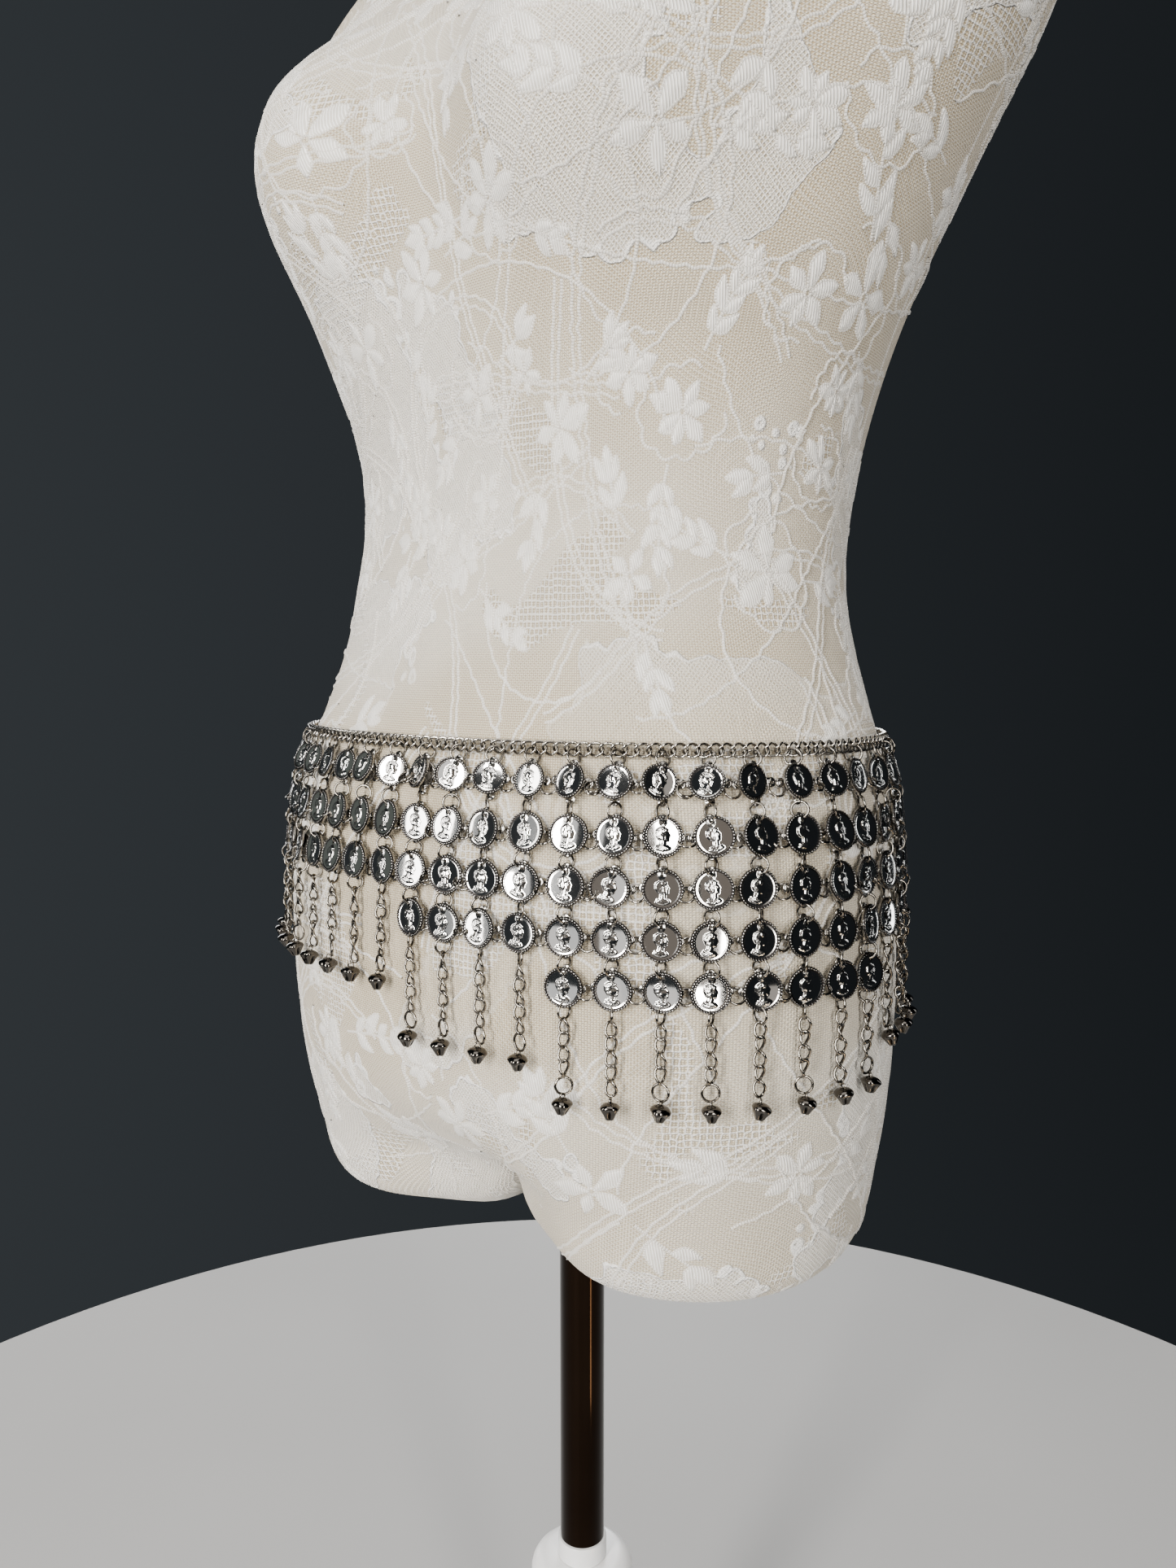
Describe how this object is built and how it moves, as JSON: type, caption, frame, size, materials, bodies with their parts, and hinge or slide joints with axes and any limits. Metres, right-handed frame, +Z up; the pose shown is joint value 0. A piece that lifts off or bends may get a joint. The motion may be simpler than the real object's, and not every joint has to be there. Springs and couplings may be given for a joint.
{
  "type": "coin waist chain on a dress form",
  "caption": "Silver coin net hanging from a curb chain round the hips of a limbless dress form, deeper over one hip, with a bell on each strand.",
  "frame": {"origin": "centre of the base plate's underside, on the floor under the pole", "axes": "+Z up along the pole; the form faces -Y, and its own left side is +X"},
  "size_m": [0.416, 0.28, 1.115],
  "materials": {
    "silver": "polished silver-plated coins, connectors, rings and curb chain",
    "knit_lace": "ivory knit with pale floral stretch lace over it",
    "chrome": "polished tube",
    "white_plastic": "white, semi-gloss"
  },
  "bodies": {
    "root": {"form_torso": "knit_lace", "pole": "chrome", "lower_tube": "chrome", "sleeve": "white_plastic", "hub": "white_plastic", "base_plate": "white_plastic", "waist_chain": "silver", "clasp": "silver", "end_ring": "silver", "coin_column_01": "silver", "coin_column_02": "silver", "coin_column_03": "silver", "coin_column_04": "silver", "coin_column_05": "silver", "coin_column_06": "silver", "coin_column_07": "silver", "coin_column_08": "silver", "coin_column_09": "silver", "coin_column_10": "silver", "coin_column_11": "silver", "coin_column_12": "silver", "coin_column_13": "silver", "coin_column_14": "silver", "coin_column_15": "silver", "coin_column_16": "silver", "coin_column_17": "silver", "coin_column_18": "silver", "coin_column_19": "silver", "coin_column_20": "silver", "coin_column_21": "silver", "coin_column_22": "silver", "coin_column_23": "silver", "coin_column_24": "silver", "coin_column_25": "silver", "coin_column_26": "silver", "coin_column_27": "silver", "coin_column_28": "silver", "coin_column_29": "silver", "coin_column_30": "silver", "coin_column_31": "silver", "coin_column_32": "silver"}
  },
  "joints": []
}
